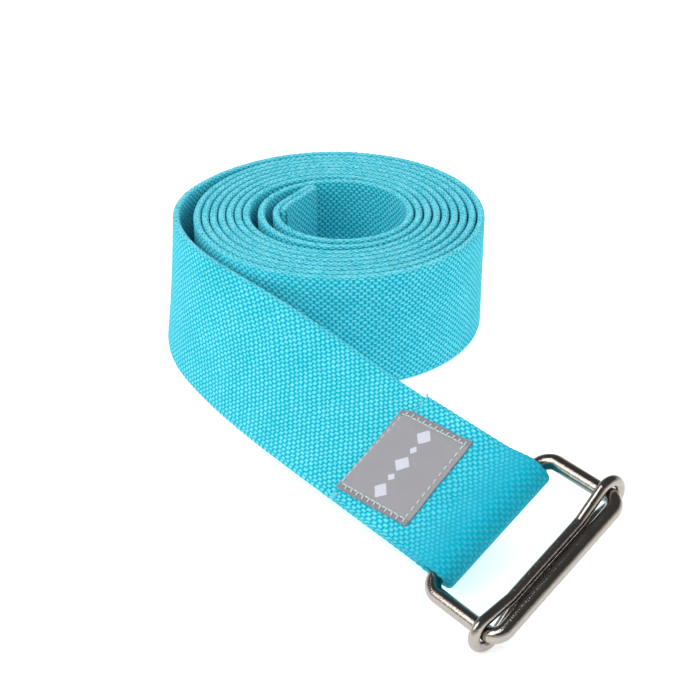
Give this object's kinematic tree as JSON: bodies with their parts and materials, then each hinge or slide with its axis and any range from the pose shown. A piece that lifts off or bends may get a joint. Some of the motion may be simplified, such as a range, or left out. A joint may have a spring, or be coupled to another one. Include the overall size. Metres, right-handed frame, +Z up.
{
  "type": "stretching strap",
  "caption": "Woven cotton strap rolled on its edge, with a sewn label and a wire buckle whose slider grips the free end.",
  "frame": {"origin": "centre of the bounding box of the whole strap, on the floor", "axes": "+X along the strap's sewn end towards the buckle's outer bar, +Z up"},
  "size_m": [0.2044, 0.1268, 0.0381],
  "materials": {
    "webbing": "coarse woven cotton",
    "label": "smooth printed cloth",
    "thread": "sewing thread",
    "buckle_wire": "dark nickel plated wire"
  },
  "bodies": {
    "strap": {"webbing_coil": "webbing", "webbing_hem": "webbing", "webbing_tail": "webbing", "webbing_loop": "webbing", "label": "label", "label_stitches": "thread", "fold_stitches": "thread", "hem_stitches": "thread"},
    "buckle_frame": {"buckle_frame": "buckle_wire"},
    "slider": {"slider": "buckle_wire"}
  },
  "joints": [
    {"name": "buckle_hinge", "type": "hinge", "parent": "strap", "child": "buckle_frame", "pos_m": [0.07507, -0.03839, 0.0162], "axis": [0, -0.8763, -0.4818], "range_deg": [0, 110]},
    {"name": "slider_travel", "type": "slide", "parent": "buckle_frame", "child": "slider", "axis": [1, 0, 0], "range_m": [-0.014, 0]}
  ]
}
